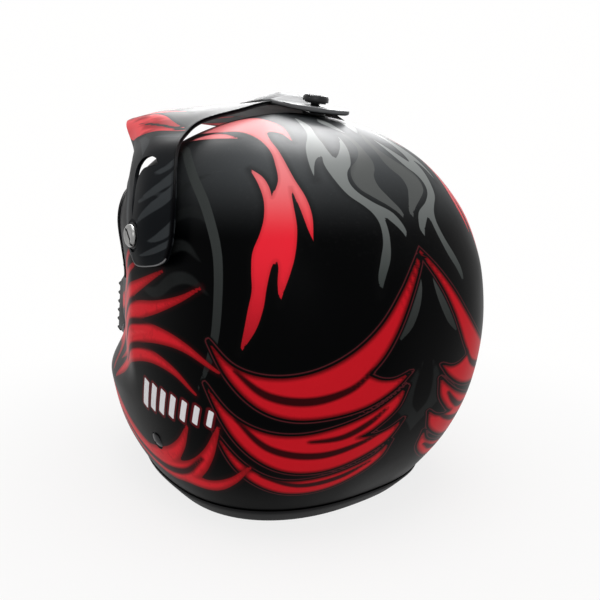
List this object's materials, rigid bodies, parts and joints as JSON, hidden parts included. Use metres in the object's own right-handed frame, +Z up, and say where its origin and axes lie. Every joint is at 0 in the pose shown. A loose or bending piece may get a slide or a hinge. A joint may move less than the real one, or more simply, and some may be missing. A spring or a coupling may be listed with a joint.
{
  "type": "motorcycle helmet",
  "caption": "Off-road full-face helmet with an open eye port, a louvred mouth vent, a peaked visor that tilts on its side screws, foam linings and a D-ring chin strap.",
  "frame": {"origin": "middle of the neck opening, on the plane that the base trim stands on, level with the widest part of the shell", "axes": "+Z up, the wearer faces -Y, and the wearer's left is +X"},
  "size_m": [0.2674, 0.3421, 0.2845],
  "materials": {
    "shell_paint": "satin black paint with a red and grey flame design",
    "visor_plastic": "satin black plastic with faint grey flames and a red front edge",
    "trim_rubber": "matt black rubber",
    "foam": "beaded black foam",
    "pad_fabric": "knitted lining cloth over foam",
    "black_plastic": "moulded black plastic",
    "black_metal": "blackened steel",
    "screw_metal": "plated steel",
    "insert_brass": "plain brass",
    "webbing": "woven black webbing"
  },
  "bodies": {
    "helmet": {"outer_shell": "shell_paint", "eye_port_trim": "trim_rubber", "base_trim": "trim_rubber", "impact_liner": "foam", "crown_pad": "pad_fabric", "cheek_pad_left": "pad_fabric", "cheek_pad_right": "pad_fabric", "neck_roll": "pad_fabric", "chin_bar_foam": "foam", "pad_snaps": "black_plastic", "mouth_grille": "black_plastic", "vent_filter": "foam", "grille_rivets": "black_metal", "visor_screw_left": "screw_metal", "visor_screw_right": "screw_metal", "visor_top_screw": "black_metal", "pivot_washers": "black_plastic", "pivot_bushes": "black_plastic", "top_washer": "black_plastic", "top_spacer": "black_plastic", "side_inserts": "insert_brass", "top_insert": "insert_brass", "strap_rivets": "black_metal", "rivet_washers": "screw_metal"},
    "peak": {"visor": "visor_plastic"},
    "left_strap": {"strap_anchor_left": "screw_metal", "chin_strap_left": "webbing", "strap_snap": "black_plastic"},
    "right_strap": {"strap_anchor_right": "screw_metal", "chin_strap_right": "webbing"},
    "inner_ring": {"d_ring_inner": "screw_metal"},
    "outer_ring": {"d_ring_outer": "screw_metal"}
  },
  "joints": [
    {"name": "visor_tilt", "type": "hinge", "parent": "helmet", "child": "peak", "pos_m": [0, 0.016, 0.187], "axis": [1, 0, 0], "range_deg": [-5, 5]},
    {"name": "left_strap_swing", "type": "hinge", "parent": "helmet", "child": "left_strap", "pos_m": [0.11654, 0.012, 0.052], "axis": [0.9063, 0, -0.4226], "range_deg": [-10, 10]},
    {"name": "right_strap_swing", "type": "hinge", "parent": "helmet", "child": "right_strap", "pos_m": [-0.11654, 0.012, 0.052], "axis": [-0.9063, 0, -0.4226], "range_deg": [-10, 10]},
    {"name": "inner_ring_swing", "type": "hinge", "parent": "right_strap", "child": "inner_ring", "pos_m": [-0.08975, 0.012, 0.04684], "axis": [0, -1, 0], "range_deg": [0, 60]},
    {"name": "outer_ring_swing", "type": "hinge", "parent": "right_strap", "child": "outer_ring", "pos_m": [-0.08673, 0.012, 0.05101], "axis": [0, -1, 0], "range_deg": [0, 60]}
  ],
  "couplings": [
    {"joint": "inner_ring_swing", "follows": "outer_ring_swing", "ratio": 1}
  ]
}
